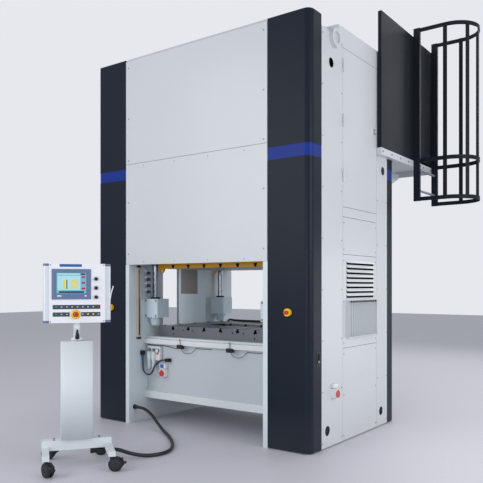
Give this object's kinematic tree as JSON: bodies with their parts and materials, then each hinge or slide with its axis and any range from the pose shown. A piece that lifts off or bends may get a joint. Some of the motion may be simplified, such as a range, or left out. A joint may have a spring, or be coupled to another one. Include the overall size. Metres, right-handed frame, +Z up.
{
  "type": "high-speed blanking press",
  "caption": "High-speed blanking press: a closed frame with a guided slide on an eccentric drive, a rear platform with a caged ladder, and a control panel on a caster pedestal.",
  "frame": {"origin": "centre of the foundation hole pattern, on the floor under the middle of the press", "axes": "+Z up, the operator stands at -Y, the strip runs along X with the flywheel at +X"},
  "size_m": [3.8098, 5.1135, 4.86],
  "materials": {
    "dark_paint": "semi-gloss",
    "pale_paint": "satin",
    "wall_paint": "satin",
    "slide_paint": "satin",
    "machined_steel": "ground",
    "dark_steel": "ground and oiled",
    "chrome": "polished",
    "cast": "painted casting",
    "bearing_bronze": "turned",
    "black_rubber": "matt",
    "black_plastic": "matt",
    "red_plastic": "gloss",
    "yellow_plastic": "satin",
    "white_plastic": "satin",
    "panel_paint": "fine texture",
    "screen": "gloss",
    "wheel": "worn"
  },
  "bodies": {
    "frame": {"bed": "wall_paint", "bolster": "dark_steel", "control_hose": "black_rubber", "crown": "wall_paint", "drive_belt": "black_rubber", "drive_motor": "cast", "front_lower_cover": "pale_paint", "front_upper_cover": "pale_paint", "guard_panels": "dark_paint", "guide_housings": "wall_paint", "hose_connector": "black_plastic", "ladder_cage": "dark_paint", "left_column_cover": "dark_paint", "left_side_frame": "wall_paint", "left_side_panels": "pale_paint", "light_curtains": "white_plastic", "louver_panel": "pale_paint", "main_bearings": "bearing_bronze", "pedestal_frame": "panel_paint", "platform_deck": "pale_paint", "rear_column_covers": "dark_paint", "rear_covers": "pale_paint", "right_column_cover": "dark_paint", "right_side_frame": "wall_paint", "right_side_panels": "pale_paint", "roof_covers": "pale_paint", "service_hose": "black_rubber", "socket_bodies": "white_plastic", "stop_rings": "yellow_plastic", "wall_fittings": "black_plastic"},
    "slide": {"slide_body": "pale_paint", "slide_plate": "slide_paint", "guide_pillars": "chrome", "connecting_rods": "machined_steel"},
    "eccentric": {"eccentric_shaft": "machined_steel", "clutch_brake": "cast"},
    "flywheel": {"flywheel": "cast"},
    "motor_rotor": {"motor_pulley": "cast"},
    "flywheel_door": {"flywheel_door": "pale_paint"},
    "ladder_gate": {"ladder_gate": "dark_paint"},
    "left_stop": {"left_stop_knob": "red_plastic"},
    "right_stop": {"right_stop_knob": "red_plastic"},
    "panel_head": {"panel_housing": "panel_paint", "panel_handles": "black_plastic", "panel_screen": "screen", "panel_keys": "black_plastic"},
    "panel_stop": {"panel_stop_knob": "red_plastic"},
    "lower_knob": {"lower_knob": "black_plastic"},
    "middle_knob": {"middle_knob": "black_plastic"},
    "upper_knob": {"upper_knob": "black_plastic"},
    "side_lid": {"side_socket_lid": "red_plastic"},
    "front_lid": {"front_socket_lid": "red_plastic"},
    "front_left_fork": {"front_left_caster_fork": "dark_steel"},
    "front_left_wheel": {"front_left_caster_wheel": "wheel"},
    "front_right_fork": {"front_right_caster_fork": "dark_steel"},
    "front_right_wheel": {"front_right_caster_wheel": "wheel"},
    "rear_left_fork": {"rear_left_caster_fork": "dark_steel"},
    "rear_left_wheel": {"rear_left_caster_wheel": "wheel"},
    "rear_right_fork": {"rear_right_caster_fork": "dark_steel"},
    "rear_right_wheel": {"rear_right_caster_wheel": "wheel"}
  },
  "joints": [
    {"name": "slide_stroke", "type": "slide", "parent": "frame", "child": "slide", "axis": [0, 0, -1], "range_m": [0, 0.04]},
    {"name": "crank_turn", "type": "hinge", "parent": "frame", "child": "eccentric", "pos_m": [0, 0, 3.35], "axis": [1, 0, 0], "range_deg": [0, 180]},
    {"name": "flywheel_spin", "type": "hinge", "parent": "frame", "child": "flywheel", "pos_m": [0, 0, 3.35], "axis": [1, 0, 0], "continuous": true},
    {"name": "motor_spin", "type": "hinge", "parent": "frame", "child": "motor_rotor", "pos_m": [1.345, 0, 2.69], "axis": [1, 0, 0], "continuous": true},
    {"name": "flywheel_door", "type": "hinge", "parent": "frame", "child": "flywheel_door", "pos_m": [1.51, -0.328, 3.27], "axis": [0, 0, -1], "range_deg": [0, 100]},
    {"name": "ladder_gate", "type": "hinge", "parent": "frame", "child": "ladder_gate", "pos_m": [1.545, 1.495, 4], "axis": [0, 0, 1], "range_deg": [0, 90]},
    {"name": "left_stop_push", "type": "slide", "parent": "frame", "child": "left_stop", "axis": [0, 1, 0], "range_m": [0, 0.006]},
    {"name": "right_stop_push", "type": "slide", "parent": "frame", "child": "right_stop", "axis": [0, 1, 0], "range_m": [0, 0.006]},
    {"name": "panel_swivel", "type": "hinge", "parent": "frame", "child": "panel_head", "pos_m": [-0.08, -2.49, 1.25], "axis": [0, 0, 1], "range_deg": [-60, 60]},
    {"name": "panel_stop_push", "type": "slide", "parent": "panel_head", "child": "panel_stop", "axis": [-0.809, 0.5878, 0], "range_m": [0, 0.006]},
    {"name": "lower_knob_turn", "type": "hinge", "parent": "panel_head", "child": "lower_knob", "pos_m": [0.09325, -2.41316, 1.52], "axis": [0.809, -0.5878, 0], "range_deg": [-60, 60]},
    {"name": "middle_knob_turn", "type": "hinge", "parent": "panel_head", "child": "middle_knob", "pos_m": [0.09325, -2.41316, 1.602], "axis": [0.809, -0.5878, 0], "range_deg": [-60, 60]},
    {"name": "upper_knob_turn", "type": "hinge", "parent": "panel_head", "child": "upper_knob", "pos_m": [0.09325, -2.41316, 1.684], "axis": [0.809, -0.5878, 0], "range_deg": [-60, 60]},
    {"name": "side_lid_lift", "type": "hinge", "parent": "frame", "child": "side_lid", "pos_m": [1.5598, -0.547, 0.574], "axis": [0, -1, 0], "range_deg": [0, 90]},
    {"name": "front_lid_lift", "type": "hinge", "parent": "frame", "child": "front_lid", "pos_m": [-0.66, -0.7598, 0.624], "axis": [-1, 0, 0], "range_deg": [0, 90]},
    {"name": "front_left_swivel", "type": "hinge", "parent": "frame", "child": "front_left_fork", "pos_m": [0.02092, -2.90572, 0.15], "axis": [0, 0, 1], "continuous": true},
    {"name": "front_left_roll", "type": "hinge", "parent": "front_left_fork", "child": "front_left_wheel", "pos_m": [0.05665, -2.9101, 0.062], "axis": [-0.1219, -0.9925, 0], "continuous": true},
    {"name": "rear_left_swivel", "type": "hinge", "parent": "frame", "child": "rear_left_fork", "pos_m": [-0.44831, -2.5648, 0.15], "axis": [0, 0, 1], "continuous": true},
    {"name": "rear_left_roll", "type": "hinge", "parent": "rear_left_fork", "child": "rear_left_wheel", "pos_m": [-0.41918, -2.54364, 0.062], "axis": [0.5878, -0.809, 0], "continuous": true},
    {"name": "front_right_swivel", "type": "hinge", "parent": "frame", "child": "front_right_fork", "pos_m": [0.34656, -2.45752, 0.15], "axis": [0, 0, 1], "continuous": true},
    {"name": "front_right_roll", "type": "hinge", "parent": "front_right_fork", "child": "front_right_wheel", "pos_m": [0.37568, -2.43636, 0.062], "axis": [0.5878, -0.809, 0], "continuous": true},
    {"name": "rear_right_swivel", "type": "hinge", "parent": "frame", "child": "rear_right_fork", "pos_m": [-0.12267, -2.1166, 0.15], "axis": [0, 0, 1], "continuous": true},
    {"name": "rear_right_roll", "type": "hinge", "parent": "rear_right_fork", "child": "rear_right_wheel", "pos_m": [-0.14943, -2.14069, 0.062], "axis": [-0.6691, 0.7431, 0], "continuous": true}
  ],
  "couplings": [
    {"joint": "crank_turn", "follows": "slide_stroke", "rad_per_m": 78.5},
    {"joint": "motor_spin", "follows": "flywheel_spin", "ratio": 4.8889}
  ]
}
